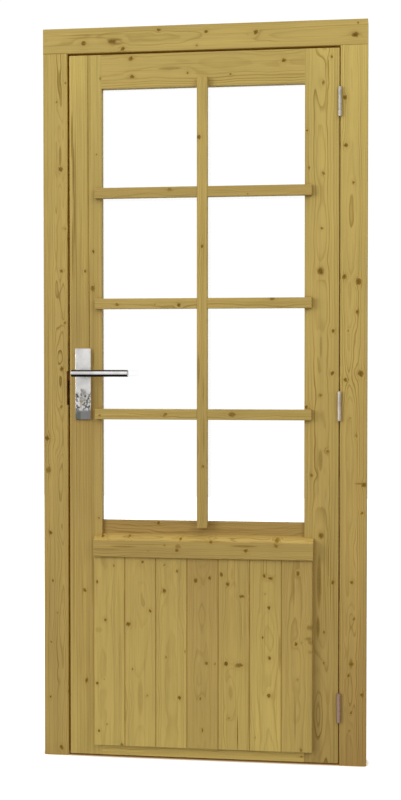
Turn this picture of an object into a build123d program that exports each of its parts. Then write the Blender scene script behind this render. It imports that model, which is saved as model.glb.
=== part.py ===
from build123d import *
import os

# A glazed wooden garden door hung in its frame. Millimetres, +Z up. The origin is at the bottom centre
# of the frame, with Y = 0 at the middle of the leaf's thickness. The outside of the door faces -Y and
# the hinges are at +X.

# Frame: three rebated lengths of the same timber and a low batten across the bottom
frame_w = 930.0
frame_h = 2100.0
frame_depth = 70.0
face_w = 76.0           # width of the hinge-side jamb, seen from the front
lock_face_w = 71.5      # the lock-side jamb is rebated a little further back
head_w = 72.0
stop_w = 15.0           # how far the stop stands past the hinge-side rebate
stop_gap = 1.0          # between the back of the closed leaf and the stops
batten_h = 20.0
ease = 1.5              # flat on the long edges of the planed timber

# Leaf
leaf_t = 40.0
hinge_gap = 2.5
top_gap = 6.5
floor_gap = 6.5
lock_stile_w = 94.8
hinge_stile_w = 97.0
lock_side_more = 1.5    # the leaf reaches this much farther towards the lock than towards the hinges
rail_w = 96.5
mid_rail_w = 120.5
rail_recess = 10.0      # the middle rail's face lies this far behind the stiles, above the sill

# Glass, set in from the back and held by beads
sight_bottom = 686.5    # lower edge of the glass opening
glass_set_back = 24.0   # from the leaf's front face to the glass
glass_t = 4.0
glass_bite = 16.0       # depth of the rebate round the opening
edge_clear = 1.0        # between the glass and the rebate's edge
bead_w = 7.0            # narrower than the rebate, so the beads don't show from outside

# Glazing bars planted on the front of the leaf
bar_w = 30.0
bar_t = 18.0
bar_rows = 3
bar_pitch = 316.0
top_pane_h = 285.0      # clear height above the highest cross bar
cross_bar_half = 310.0  # from the middle of a cross bar to its ends on the stiles
long_bar_top_lap = 23.0 # ends of the long bar on the rails
long_bar_low_lap = 16.5
bar_ease = 1.2
brad_r = 1.1
brad_len = 31.0
brad_inset = 10.0
nail_sunk = 0.2         # heads of brads and nails below the wood's surface

# Boarded lower half
boards = 7
panel_left = -313.0     # edges of the boards and the sill, which lie over the stiles
panel_right = 317.0
board_t = 20.0
board_bottom = 39.0
last_board_trim = 3.0   # the board next to the hinges is planed narrower
board_joint = 0.3       # gap between two boards behind the V
tongue_w = 5.0
tongue_t = 6.0
vee = 2.0
nail_r = 1.6
nail_len = 36.0
nail_up = 14.0          # lower nails above the boards' ends

# Weather sill over the boards' upper ends
sill_out = 30.0
sill_below = 42.5       # from the edge of the glass opening down to the sill's top at the stiles
sill_fall = 11.0        # slope from the stiles' face to the nose
sill_nose = 49.0        # height of the upright front
sill_tongue = 12.0      # thickness of the part let in between the stiles, at their face
sill_trim = 1.0         # the sill ends this far short of the full panel at the hinges
sill_lip = 10.0         # how far the nose hangs down in front of the boards

# Hinges
hinge_h = 80.0
top_hinge_down = 150.5  # from the leaf's top edge to the middle of the top hinge
low_hinge_up = 158.5    # from the leaf's bottom edge to the middle of the bottom hinge
flap_t = 2.0
flap_let_in = 1.0
flap_w = 32.0
knuckles = 5
knuckle_r = 5.25
knuckle_gap = 0.4
barrel_clear = 0.35     # between the barrel and the front of the leaf
pin_r = 3.0
pin_clear = 0.05
pin_cap_r = 4.4
pin_cap_h = 1.6
screw_head_r = 3.6
screw_head_h = 2.0
screw_r = 1.9
screw_len = 28.0
screw_pitch = 26.0
hinge_screw_in = 17.6   # from the leaf's face to the row of hinge screws
end_screw_in = 9.0      # screws from the ends of the forend and of the strike plate

# Mortise lock, lever handles and profile cylinder
backset = 40.5
lever_z = 1110.0
cylinder_down = 55.0    # the distances below are measured up or down from the lever
forend_t = 3.0
forend_w = 20.0
forend_down = 155.0
forend_up = 80.0
case_down = 107.0
case_up = 40.0
case_t = 15.0
case_wall = 1.5
case_back = 18.0        # case depth behind the spindle
latch_h = 24.0
latch_t = 12.0
latch_out = 12.5
latch_tip = 2.0         # thickness left at the end of the slanted latch
latch_down = 10.0
latch_len = 13.0        # length of the latch inside the case
bolt_h = 32.0
bolt_t = 10.0
bolt_down = 64.0
bolt_len = 27.0
slide_clear = 0.3
hub_r = 9.0
hub_len = 14.0
hub_hole_clear = 1.5    # round the hub, in the stile
spindle_w = 8.0
spindle_len = 124.0
square_clear = 0.1
turn_clear = 0.1

plate_w = 46.0
plate_h = 206.0
plate_t = 8.0
plate_down = 31.0       # middle of the plate
plate_corner = 3.0
plate_round = 2.0
collar_r = 15.0
collar_t = 2.5
lever_r = 10.0
lever_left = 22.5       # lever past the spindle towards the frame
outer_lever_len = 164.0
inner_lever_len = 126.0
lever_out = 57.0        # from the leaf's face to the middle of the lever
neck_r = 9.0
neck_clear = 0.5        # between the leaf's face and the neck
lever_end_round = 1.2
plate_screw_r = 2.5
plate_screw_head_r = 4.5
plate_screw_head_h = 2.6
plate_screw_up = 60.0
plate_screw_down = 120.0
plate_thread = 5.0      # length of screw inside the outer plate

cylinder_r = 8.5
cylinder_web = 10.0
cylinder_drop = 24.5    # from the plug's centre to the bottom of the profile
cylinder_len = 62.0
stile_hole_clear = 0.6  # round the cylinder
plate_hole_clear = 0.1
plug_r = 6.5
plug_proud = 0.4
key_t = 2.2
key_h = 8.0
key_in = 28.0
key_clear = 0.1
bow_r = 11.0
bow_stand = 3.0         # bare blade between the cylinder and the bow
bow_hole_r = 3.8
bow_hole_in = 5.4       # from the bow's edge to the centre of its hole
ring_r = 6.5
ring_wire_r = 0.8
ring_touch = 0.05
spare_bow_r = 8.5
spare_blade = 13.0
spare_blade_w = 6.0
spare_drop = 0.5        # room for the ring in the turned hole
spare_turn = 40.0       # the spare key hangs turned about the vertical

# Strike plate let into the lock-side jamb
strike_t = 1.5
strike_deep = 4.0
strike_w = 24.0
strike_down = 127.0
strike_up = 42.0
lip_down = 91.0
lip_up = 6.0
strike_lip_back = 3.0   # the lip ends this far behind the frame's front
pocket_deep = 20.0
opening_clear = 1.0

# Holes for frame fixings
fixing_r = 5.0
fixing_rows = 4
fixing_lowest = 330.0
fixing_top_in = 318.0    # from the top of the jamb to the highest hole

# Planes and positions that follow from the sizes above
front = -leaf_t / 2
back = leaf_t / 2
frame_back = front + frame_depth
half_w = frame_w / 2
rebate_x = half_w - face_w
lock_rebate_x = half_w - lock_face_w
stop_x = rebate_x - stop_w
stop_y = back + stop_gap
head_z = frame_h - head_w
leaf_x = rebate_x - hinge_gap
leaf_bottom = floor_gap
leaf_top = head_z - top_gap
lock_leaf_x = -leaf_x - lock_side_more
sight_left = lock_leaf_x + lock_stile_w
sight_right = leaf_x - hinge_stile_w
sight_top = leaf_top - rail_w
mid_rail_bottom = sight_bottom - mid_rail_w
long_bar_bottom = sight_bottom - long_bar_low_lap
long_bar_top = sight_top + long_bar_top_lap
lowest_bar = sight_top - top_pane_h - bar_w / 2 - (bar_rows - 1) * bar_pitch
sill_top = sight_bottom - sill_below
sill_nose_top = sill_top - sill_fall
sill_bottom = sill_nose_top - sill_nose
tongue_bottom = sill_top - sill_tongue
tongue_rise = sill_fall * rail_recess / sill_out
glass_y = front + glass_set_back
board_w = (panel_right - panel_left) / boards
hinge_low_z = leaf_bottom + low_hinge_up
hinge_top_z = leaf_top - top_hinge_down
hinge_zs = (hinge_low_z, (hinge_low_z + hinge_top_z) / 2, hinge_top_z)
pin_x = (rebate_x + leaf_x) / 2
pin_y = front - knuckle_r - barrel_clear
spindle_x = lock_leaf_x + backset
forend_x = lock_leaf_x + forend_t
cylinder_z = lever_z - cylinder_down
forend_bottom, forend_top = lever_z - forend_down, lever_z + forend_up
case_bottom, case_top = lever_z - case_down, lever_z + case_up
latch_z = lever_z - latch_down
bolt_z = lever_z - bolt_down
plate_z = lever_z - plate_down
plate_screw_top, plate_screw_bottom = lever_z + plate_screw_up, lever_z - plate_screw_down
strike_bottom, strike_top = lever_z - strike_down, lever_z + strike_up
strike_lip_bottom, strike_lip_top = lever_z - lip_down, lever_z + lip_up
fixing_pitch = (head_z - fixing_top_in - fixing_lowest) / (fixing_rows - 1)
strike_x = -lock_rebate_x - strike_deep + strike_t

os.makedirs("parts", exist_ok=True)


def save(name, *shapes):
    shape = shapes[0] if len(shapes) == 1 else Compound(children=list(shapes))
    export_step(shape, f"parts/{name}.step")


def block(x0, x1, y0, y1, z0, z1):
    size = Box(abs(x1 - x0), abs(y1 - y0), abs(z1 - z0))
    return Pos((x0 + x1) / 2, (y0 + y1) / 2, (z0 + z1) / 2) * size


def rod_x(x0, x1, y, z, r):
    return Pos((x0 + x1) / 2, y, z) * Rot(0, 90, 0) * Cylinder(r, abs(x1 - x0))


def rod_y(x, y0, y1, z, r):
    return Pos(x, (y0 + y1) / 2, z) * Rot(90, 0, 0) * Cylinder(r, abs(y1 - y0))


def rod_z(x, y, z0, z1, r):
    return Pos(x, y, (z0 + z1) / 2) * Cylinder(r, z1 - z0)


def front_edges(shape, axis):
    return shape.edges().filter_by(axis).group_by(Axis.Y)[0]


def side_screw(x, y, z, way):
    # Countersunk screw driven along X from x
    head = Pos(x + way * screw_head_h / 2, y, z) * Rot(0, 90 * way, 0)
    head = head * Cone(screw_head_r, screw_r, screw_head_h)
    return head + rod_x(x + way * screw_head_h, x + way * screw_len, y, z, screw_r)


def hinge_screws(x, way):
    rows = [z + step * screw_pitch for z in hinge_zs for step in (-1, 0, 1)]
    return [side_screw(x, front + hinge_screw_in, z, way) for z in rows]


def jamb(side):
    edge = side * (rebate_x if side > 0 else lock_rebate_x)
    body = block(side * half_w, side * stop_x, front, frame_back, 0, head_z)
    body -= block(edge, side * stop_x, front, stop_y, 0, head_z)
    body = chamfer(front_edges(body, Axis.Z), ease)
    for row in range(fixing_rows):
        z = fixing_lowest + row * fixing_pitch
        body -= rod_x(side * half_w, edge, 0, z, fixing_r)
    return body


def bolt_openings(x0, x1):
    # Room for the latch and for the dead bolt in the strike plate and in the jamb behind it
    openings = []
    for z, h, t in ((latch_z, latch_h, latch_t), (bolt_z, bolt_h, bolt_t)):
        half = h / 2 + opening_clear
        openings.append(block(x0, x1, -t / 2 - slide_clear, t / 2 + opening_clear, z - half, z + half))
    return openings


def strike_cuts():
    edge = -lock_rebate_x
    deep = edge - strike_deep
    seat = block(deep, edge, -strike_w / 2, strike_w / 2, strike_bottom, strike_top)
    lip = block(deep, edge, front, 0, strike_lip_bottom, strike_lip_top)
    return [seat, lip] + bolt_openings(deep - pocket_deep, deep)


def strike_plate():
    plate = block(strike_x - strike_t, strike_x, -strike_w / 2, strike_w / 2, strike_bottom, strike_top)
    lip_front = front + strike_lip_back
    plate += block(strike_x - strike_t, strike_x, lip_front, 0, strike_lip_bottom, strike_lip_top)
    return cut_all(plate, bolt_openings(strike_x - strike_t, strike_x))


def strike_screws():
    rows = (strike_bottom + end_screw_in, strike_top - end_screw_in)
    return [side_screw(strike_x, 0, z, -1) for z in rows]


def flap(side):
    # One half of a butt hinge: side -1 is screwed to the leaf, side +1 to the jamb
    edge = leaf_x if side < 0 else rebate_x
    outer = edge + side * flap_let_in
    inner = outer - side * flap_t
    halves = []
    for z in hinge_zs:
        low = z - hinge_h / 2
        part = block(outer, inner, front, front + flap_w, low, low + hinge_h)
        tall = (hinge_h - (knuckles - 1) * knuckle_gap) / knuckles
        for k in range(0 if side > 0 else 1, knuckles, 2):
            z0 = low + k * (tall + knuckle_gap)
            part += block(outer, inner, pin_y, front, z0, z0 + tall)
            part += rod_z(pin_x, pin_y, z0, z0 + tall, knuckle_r)
        part -= rod_z(pin_x, pin_y, low, low + hinge_h, pin_r + pin_clear)
        halves.append(part)
    return halves


def flap_seats(side):
    edge = leaf_x if side < 0 else rebate_x
    outer = edge + side * flap_let_in
    return [block(outer, edge, front, front + flap_w, z - hinge_h / 2, z + hinge_h / 2) for z in hinge_zs]


def hinge_pin(z):
    low, high = z - hinge_h / 2, z + hinge_h / 2
    pin = rod_z(pin_x, pin_y, low, high, pin_r)
    pin += rod_z(pin_x, pin_y, low - pin_cap_h, low, pin_cap_r)
    pin += rod_z(pin_x, pin_y, high, high + pin_cap_h, pin_cap_r)
    return pin


def cut_all(body, tools):
    for tool in tools:
        body -= tool
    return body


def spaced(count, low, pitch):
    return [low + i * pitch for i in range(count)]


bar_zs = spaced(bar_rows, lowest_bar, bar_pitch)
board_xs = spaced(boards, panel_left, board_w)


def brads():
    # Round brads through the ends of the bars, just under the surface
    y0 = front - bar_t + nail_sunk
    spots = [(s * (cross_bar_half - brad_inset), z) for z in bar_zs for s in (-1, 1)]
    spots += [(0, long_bar_bottom + brad_inset), (0, long_bar_top - brad_inset)]
    return [rod_y(x, y0, y0 + brad_len, z, brad_r) for x, z in spots]


def board_nails():
    y0 = front - board_t + nail_sunk
    rows = (board_bottom + nail_up, sill_bottom + sill_lip / 2)
    return [rod_y(x + board_w / 2, y0, y0 + nail_len, z, nail_r) for x in board_xs for z in rows]


def lock_cuts():
    edge = lock_leaf_x
    cuts = [block(edge, forend_x, -forend_w / 2, forend_w / 2, forend_bottom, forend_top)]
    cuts.append(block(forend_x, spindle_x + case_back, -case_t / 2, case_t / 2, case_bottom, case_top))
    cuts.append(rod_y(spindle_x, front, back, lever_z, hub_r + hub_hole_clear))
    cuts.append(profile(front, back, stile_hole_clear))
    cuts += [rod_y(spindle_x, front, back, z, plate_screw_r) for z in (plate_screw_top, plate_screw_bottom)]
    return cuts


def profile(y0, y1, grow=0.0):
    # The keyhole-shaped bar of a profile cylinder, along Y
    web = cylinder_web / 2
    shape = rod_y(spindle_x, y0, y1, cylinder_z, cylinder_r + grow)
    low = cylinder_z - cylinder_drop + web
    shape += block(spindle_x - web - grow, spindle_x + web + grow, y0, y1, low, cylinder_z)
    shape += rod_y(spindle_x, y0, y1, low, web + grow)
    return shape


def stile(side):
    outer, inner = (leaf_x, sight_right) if side > 0 else (lock_leaf_x, sight_left)
    body = block(outer, inner, front, back, leaf_bottom, leaf_top)
    body = chamfer(front_edges(body, Axis.Z).sort_by(Axis.X)[0 if side < 0 else -1], ease)
    low, high = sight_bottom - glass_bite, sight_top + glass_bite
    body -= block(inner, inner + side * glass_bite, glass_y, back, low, high)
    return body


def rail(low, high, glass_side):
    # glass_side +1: the glass is above this rail, -1: below it, 0: none
    body = block(sight_left, sight_right, front, back, low, high)
    if glass_side:
        edge = high if glass_side > 0 else low
        body -= block(sight_left, sight_right, glass_y, back, edge - glass_side * glass_bite, edge)
    return body


def board(index):
    left = board_xs[index]
    right = left + board_w - (board_joint if index < boards - 1 else last_board_trim)
    y0, y1 = front - board_t, front
    top = sill_bottom + sill_lip
    body = block(left, right, y0, y1, board_bottom, top)
    edges = front_edges(body, Axis.Z).sort_by(Axis.X)
    body = chamfer(edges, vee)
    mid = (y0 + y1) / 2 + vee / 2
    if index < boards - 1:
        tip = right + tongue_w
        body += block(right, tip, mid - tongue_t / 2, mid + tongue_t / 2, board_bottom, top)
    if index > 0:
        deep = left + tongue_w + board_joint
        half = tongue_t / 2 + slide_clear
        body -= block(left, deep, mid - half, mid + half, board_bottom, top)
    return body


def prism(outline, x0, x1):
    # An outline of Y, Z points drawn out along X
    with BuildPart() as part:
        with BuildSketch(Plane.YZ.offset(x0)):
            Polygon(*outline, align=None)
        extrude(amount=x1 - x0)
    return part.part


def sill():
    nose_y, lip_y = front - sill_out, front - board_t
    under = sill_bottom + sill_lip
    outline = [(lip_y, under), (lip_y, sill_bottom), (nose_y, sill_bottom), (nose_y, sill_nose_top),
               (front, sill_top), (front, under)]
    body = prism(outline, panel_left, panel_right - sill_trim)
    body = chamfer(front_edges(body, Axis.X), ease)
    # The slope goes on between the stiles, back to the recessed face of the middle rail
    deep = front + rail_recess
    tongue = [(front, tongue_bottom), (front, sill_top), (deep, sill_top + tongue_rise),
              (deep, tongue_bottom)]
    return body + prism(tongue, sight_left, sight_right)


def lock_case():
    x0, x1 = forend_x, spindle_x + case_back
    body = block(x0, x1, -case_t / 2, case_t / 2, case_bottom, case_top)
    w = case_wall
    body -= block(x0, x1 - w, -case_t / 2 + w, case_t / 2 - w, case_bottom + w, case_top - w)
    body -= rod_y(spindle_x, -case_t, case_t, lever_z, hub_r + turn_clear)
    return body - profile(-case_t, case_t, slide_clear)


def forend():
    body = block(lock_leaf_x, forend_x, -forend_w / 2, forend_w / 2, forend_bottom, forend_top)
    body -= bolt_block(latch_z, latch_h, latch_t, slide_clear)
    body -= bolt_block(bolt_z, bolt_h, bolt_t, slide_clear)
    return cut_all(body, forend_screws())


def forend_screws():
    rows = (forend_bottom + end_screw_in, forend_top - end_screw_in)
    return [side_screw(lock_leaf_x, 0, z, 1) for z in rows]


def bolt_block(z, h, t, grow):
    half_h, half_t = h / 2 + grow, t / 2 + grow
    return block(lock_leaf_x - latch_out, forend_x + latch_len, -half_t, half_t, z - half_h, z + half_h)


def latch():
    # The slanted side faces the stop, so that the latch rides in when the leaf is pushed shut
    tip = lock_leaf_x - latch_out
    y0, y1 = -latch_t / 2, latch_t / 2
    inner = forend_x + latch_len
    outline = [(tip, y0), (inner, y0), (inner, y1), (lock_leaf_x, y1), (tip, y0 + latch_tip)]
    with BuildPart() as part:
        with BuildSketch(Plane.XY.offset(latch_z - latch_h / 2)):
            Polygon(*outline, align=None)
        extrude(amount=latch_h)
    return part.part


def plate(side):
    # side -1 is the outside plate, +1 the inside one, which carries the screw heads
    inner = side * leaf_t / 2
    outer = inner + side * plate_t
    body = block(spindle_x - plate_w / 2, spindle_x + plate_w / 2, inner, outer,
                 plate_z - plate_h / 2, plate_z + plate_h / 2)
    body = fillet(body.edges().filter_by(Axis.Y), plate_corner)
    rim = body.faces().sort_by(Axis.Y)[0 if side < 0 else -1].edges()
    body = fillet(rim, plate_round)
    body += rod_y(spindle_x, outer, outer + side * collar_t, lever_z, collar_r)
    body -= rod_y(spindle_x, inner, outer + side * collar_t, lever_z, neck_r + turn_clear)
    body -= profile(inner, outer, plate_hole_clear)
    return cut_all(body, plate_screws())


def plate_screws():
    outer = back + plate_t
    screws = []
    for z in (plate_screw_top, plate_screw_bottom):
        head = Pos(spindle_x, outer - plate_screw_head_h / 2, z) * Rot(90, 0, 0)
        head = head * Cone(plate_screw_head_r, plate_screw_r, plate_screw_head_h)
        shank = rod_y(spindle_x, front - plate_thread, outer - plate_screw_head_h, z, plate_screw_r)
        screws.append(head + shank)
    return screws


def spindle_hole(y0, y1):
    half = spindle_w / 2 + square_clear
    return block(spindle_x - half, spindle_x + half, y0, y1, lever_z - half, lever_z + half)


def lever(side, lever_len):
    y = side * (leaf_t / 2 + lever_out)
    x0 = spindle_x - lever_left
    bar = rod_x(x0, x0 + lever_len, y, lever_z, lever_r)
    bar = fillet(bar.edges().filter_by(GeomType.CIRCLE), lever_end_round)
    bar += rod_y(spindle_x, side * (leaf_t / 2 + neck_clear), y, lever_z, neck_r)
    return bar - spindle_hole(0, side * spindle_len / 2)


def hub():
    body = rod_y(spindle_x, -hub_len / 2, hub_len / 2, lever_z, hub_r)
    return body - spindle_hole(-hub_len / 2, hub_len / 2)


def key_blade_y():
    return -cylinder_len / 2 - plug_proud


def plug():
    reach = cylinder_len / 2 + plug_proud
    body = rod_y(spindle_x, -reach, reach, cylinder_z, plug_r)
    half_t, half_h = key_t / 2 + key_clear, key_h / 2 + key_clear
    y1 = key_blade_y() + key_in + key_clear
    low, high = cylinder_z - half_h, cylinder_z + half_h
    return body - block(spindle_x - half_t, spindle_x + half_t, -reach, y1, low, high)


def key():
    face = key_blade_y()
    bow_y = face - bow_stand - bow_r
    half_t, half_h = key_t / 2, key_h / 2
    low, high = cylinder_z - half_h, cylinder_z + half_h
    body = block(spindle_x - half_t, spindle_x + half_t, bow_y, face + key_in, low, high)
    body += rod_x(spindle_x - half_t, spindle_x + half_t, bow_y, cylinder_z, bow_r)
    return body - rod_x(spindle_x - key_t, spindle_x + key_t, ring_y(), cylinder_z, bow_hole_r)


def ring_y():
    return key_blade_y() - bow_stand - 2 * bow_r + bow_hole_in


def ring_top():
    return cylinder_z - bow_hole_r + ring_wire_r + ring_touch


def key_ring():
    loop = Torus(ring_r, ring_wire_r)
    return Pos(spindle_x, ring_y(), ring_top() - ring_r) * Rot(90, 0, 0) * loop


def spare_key():
    # Hangs from the lowest point of the ring
    hole_z = ring_top() - 2 * ring_r + ring_wire_r + spare_drop - bow_hole_r
    bow_z = hole_z + bow_hole_in - spare_bow_r
    half_t, half_blade = key_t / 2, spare_blade_w / 2
    body = rod_x(-half_t, half_t, 0, bow_z, spare_bow_r)
    body += block(-half_t, half_t, -half_blade, half_blade, bow_z - spare_bow_r - spare_blade, bow_z)
    body -= rod_x(-key_t, key_t, 0, hole_z, bow_hole_r)
    return Pos(spindle_x, ring_y(), 0) * Rot(0, 0, spare_turn) * body


# Frame
frame_flap_x = rebate_x + flap_let_in - flap_t
leaf_flap_x = leaf_x - flap_let_in + flap_t
save("left_jamb", cut_all(jamb(-1), strike_cuts() + strike_screws()))
save("right_jamb", cut_all(jamb(1), flap_seats(1) + hinge_screws(frame_flap_x, 1)))
head = block(-half_w, half_w, front, frame_back, head_z, frame_h)
head = chamfer(front_edges(head, Axis.X), ease)
head += block(-stop_x, stop_x, stop_y, frame_back, head_z - stop_w, head_z)
save("frame_head", head)
save("threshold_batten", block(-stop_x, stop_x, stop_y, frame_back, 0, batten_h))
save("strike_plate", cut_all(strike_plate(), strike_screws()))
save("strike_screws", *strike_screws())

# Leaf frame
lock_stile = cut_all(stile(-1), lock_cuts() + forend_screws())
hinge_stile = cut_all(stile(1), flap_seats(-1) + hinge_screws(leaf_flap_x, -1))
top_rail = rail(sight_top, leaf_top, -1)
mid_rail = rail(mid_rail_bottom, sight_bottom, 1)
mid_rail -= block(sight_left, sight_right, front, front + rail_recess, tongue_bottom, sight_bottom)
bottom_rail = rail(leaf_bottom, leaf_bottom + rail_w, 0)
save("lock_stile", cut_all(lock_stile, brads()))
save("hinge_stile", cut_all(hinge_stile, brads()))
save("top_rail", cut_all(top_rail, brads()))
save("mid_rail", cut_all(mid_rail, brads() + board_nails()))
save("bottom_rail", cut_all(bottom_rail, board_nails()))

# Glass and its beads
bead_left, bead_right = sight_left - glass_bite, sight_right + glass_bite
bead_low, bead_high = sight_bottom - glass_bite, sight_top + glass_bite
pane = [bead_left + edge_clear, bead_right - edge_clear, glass_y, glass_y + glass_t]
save("glass_pane", block(*pane, bead_low + edge_clear, bead_high - edge_clear))
bead_y = glass_y + glass_t
side_low, side_high = bead_low + bead_w, bead_high - bead_w
save("bead_top", block(bead_left, bead_right, bead_y, back, side_high, bead_high))
save("bead_bottom", block(bead_left, bead_right, bead_y, back, bead_low, side_low))
save("bead_left", block(bead_left, bead_left + bead_w, bead_y, back, side_low, side_high))
save("bead_right", block(bead_right - bead_w, bead_right, bead_y, back, side_low, side_high))

# Glazing bars: the cross bars are halved behind the long bar, whose foot reaches back to the middle rail
bar_y = front - bar_t
long_bar = block(-bar_w / 2, bar_w / 2, bar_y, front, long_bar_bottom, long_bar_top)
long_bar = chamfer(front_edges(long_bar, Axis.Z), bar_ease)
long_bar += block(-bar_w / 2, bar_w / 2, front, front + rail_recess, long_bar_bottom, sight_bottom)
for z in bar_zs:
    long_bar -= block(-bar_w / 2, bar_w / 2, bar_y + bar_t / 2, front, z - bar_w / 2, z + bar_w / 2)
save("long_bar", cut_all(long_bar, brads()))
for number, z in enumerate(bar_zs, 1):
    cross = block(-cross_bar_half, cross_bar_half, bar_y, front, z - bar_w / 2, z + bar_w / 2)
    cross = chamfer(front_edges(cross, Axis.X), bar_ease)
    cross -= block(-bar_w / 2, bar_w / 2, bar_y, bar_y + bar_t / 2, z - bar_w / 2, z + bar_w / 2)
    save(f"cross_bar_{number}", cut_all(cross, brads()))
save("bar_brads", *brads())

# Boards, sill and nails
for index in range(boards):
    save(f"board_{index + 1}", cut_all(board(index), board_nails()))
save("weather_sill", sill())
save("board_nails", *board_nails())

# Hinges
save("hinge_flaps_frame", *[cut_all(part, hinge_screws(frame_flap_x, 1)) for part in flap(1)])
save("hinge_flaps_leaf", *[cut_all(part, hinge_screws(leaf_flap_x, -1)) for part in flap(-1)])
save("hinge_pins", *[hinge_pin(z) for z in hinge_zs])
save("hinge_screws_frame", *hinge_screws(frame_flap_x, 1))
save("hinge_screws_leaf", *hinge_screws(leaf_flap_x, -1))

# Lock and handles
save("lock_case", lock_case())
save("lock_forend", forend())
save("forend_screws", *forend_screws())
save("latch_bolt", latch())
bolt_low, bolt_high = bolt_z - bolt_h / 2, bolt_z + bolt_h / 2
save("dead_bolt", block(lock_leaf_x, lock_leaf_x + bolt_len, -bolt_t / 2, bolt_t / 2, bolt_low, bolt_high))
save("lock_hub", hub())
half_spindle = spindle_w / 2
save("spindle", block(spindle_x - half_spindle, spindle_x + half_spindle, -spindle_len / 2, spindle_len / 2,
                      lever_z - half_spindle, lever_z + half_spindle))
save("outer_plate", plate(-1))
save("inner_plate", plate(1))
save("plate_screws", *plate_screws())
save("outer_lever", lever(-1, outer_lever_len))
save("inner_lever", lever(1, inner_lever_len))
reach = cylinder_len / 2
core = rod_y(spindle_x, -reach, reach, cylinder_z, plug_r + turn_clear)
save("lock_cylinder", profile(-reach, reach) - core)
save("cylinder_plug", plug())
save("door_key", key())
save("key_ring", key_ring())
save("spare_key", spare_key())
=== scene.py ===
import math

import bpy
from mathutils import Euler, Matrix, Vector


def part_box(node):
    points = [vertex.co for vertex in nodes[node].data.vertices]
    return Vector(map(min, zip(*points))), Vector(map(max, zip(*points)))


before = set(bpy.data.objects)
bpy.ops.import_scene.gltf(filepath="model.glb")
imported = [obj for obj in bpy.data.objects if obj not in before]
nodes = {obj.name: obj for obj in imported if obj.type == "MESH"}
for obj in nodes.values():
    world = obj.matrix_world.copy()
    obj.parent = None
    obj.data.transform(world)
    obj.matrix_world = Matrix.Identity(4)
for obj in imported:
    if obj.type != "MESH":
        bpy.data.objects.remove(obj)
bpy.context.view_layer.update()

MM = 0.001

# Camera: about 4 m in front of the door and 1.13 m up, turned a little towards the lock side. Metres and
# radians, with the lens and the sensor in millimetres
CAMERA_PLACE = (0.546, -3.968, 1.129)
CAMERA_YAW = 0.1391
CAMERA_DOWN = 0.0238
CAMERA_LENS = 62.91
CAMERA_SENSOR = 36.0

# Light: one large soft lamp to the left, little higher than the door, a weak one on the right, and a room
# that is brighter above than below
KEY_PLACE = (-5.6, -5.6, 2.7)
KEY_AIM = (0.0, 0.0, 1.2)
KEY_SIZE = 3.4
KEY_WATTS = 243.0
FILL_PLACE = (2.6, -3.2, 3.4)
FILL_AIM = (0.3, 0.0, 1.6)
FILL_SIZE = 2.0
FILL_WATTS = 42.0
ROOM_ABOVE = 1.12
ROOM_LEVEL = 0.34
BACKGROUND = (1.04, 1.04, 1.04, 1.0)

# What metal mirrors of the room, by how steeply the mirrored ray rises: from, to, and the light at each
MIRRORED_ABOVE = (0.80, 0.97, 1.0, 0.10)
MIRRORED_BELOW = (-0.70, -0.35, 0.05, 1.0)
MIRRORED_FRONT = (-0.02, 0.12, 0.80, 1.0)

# Floor: white where it is seen, darker in the light it throws back; close under the wood it is painted warm,
# a painted reflection of the wood, and its glow fades there to a painted shadow. The two edges are open air
# from, to, and the effect at each
FLOOR_SIZE = 16.0
FLOOR_COLOUR = (0.82, 0.82, 0.81, 1.0)
FLOOR_BOUNCE = (0.48, 0.47, 0.455, 1.0)
FLOOR_PAINTED_WOOD_REFLECTION = (0.85, 0.62, 0.30, 1.0)
FLOOR_GLOW = 0.75
CONTACT_REACH = 0.035
WOOD_REFLECTION_SHARE = (0.30, 0.70, 1.0, 0.0)
PAINTED_CONTACT_SHADOW = (0.35, 0.9, 0.0, FLOOR_GLOW)


def linear(red, green, blue):
    """A colour as seen on a screen, 0 to 255, as the linear colour that a shader takes."""
    def channel(value):
        share = value / 255
        return share / 12.92 if share <= 0.04045 else ((share + 0.055) / 1.055) ** 2.4
    return (channel(red), channel(green), channel(blue), 1.0)


# Node helpers

def add(tree, kind, inputs=(), **settings):
    """A new node with its settings and its inputs, each a value or another node's output."""
    node = tree.nodes.new(kind)
    for name, value in settings.items():
        setattr(node, name, value)
    for key, value in dict(inputs).items():
        if isinstance(value, bpy.types.NodeSocket):
            tree.links.new(value, node.inputs[key])
        else:
            node.inputs[key].default_value = value
    return node


def maths(tree, operation, *values):
    return add(tree, "ShaderNodeMath", enumerate(values), operation=operation).outputs[0]


def vector(tree, operation, *values):
    return add(tree, "ShaderNodeVectorMath", enumerate(values), operation=operation).outputs[0]


def scaled(tree, value, factor):
    node = add(tree, "ShaderNodeVectorMath", {0: value, "Scale": factor}, operation="SCALE")
    return node.outputs[0]


def length(tree, value):
    return add(tree, "ShaderNodeVectorMath", {0: value}, operation="LENGTH").outputs["Value"]


def ramp(tree, value, low, high, to_low=0.0, to_high=1.0, smooth=True):
    """value from low..high to to_low..to_high, held at the ends."""
    node = add(tree, "ShaderNodeMapRange",
               {"Value": value, "From Min": low, "From Max": high, "To Min": to_low, "To Max": to_high},
               interpolation_type="SMOOTHSTEP" if smooth else "LINEAR")
    return node.outputs[0]


def noise(tree, place, scale, detail=2.0, roughness=0.5):
    """Noise at place, stretched by the three scales. Its first output is a number, its second a colour."""
    stretched = vector(tree, "MULTIPLY", place, scale)
    return add(tree, "ShaderNodeTexNoise",
               {"Vector": stretched, "Scale": 1.0, "Detail": detail, "Roughness": roughness})


def wobble(tree, place, kind, size):
    """A vector of noise round zero, as strong along each axis as size."""
    cloud = noise(tree, place, *kind).outputs["Color"]
    return vector(tree, "MULTIPLY", vector(tree, "SUBTRACT", cloud, (0.5, 0.5, 0.5)), size)


def line_noise(tree, value):
    node = add(tree, "ShaderNodeTexNoise", {"W": value, "Scale": 1.0, "Detail": 0.0},
               noise_dimensions="1D")
    return node.outputs[0]


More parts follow.
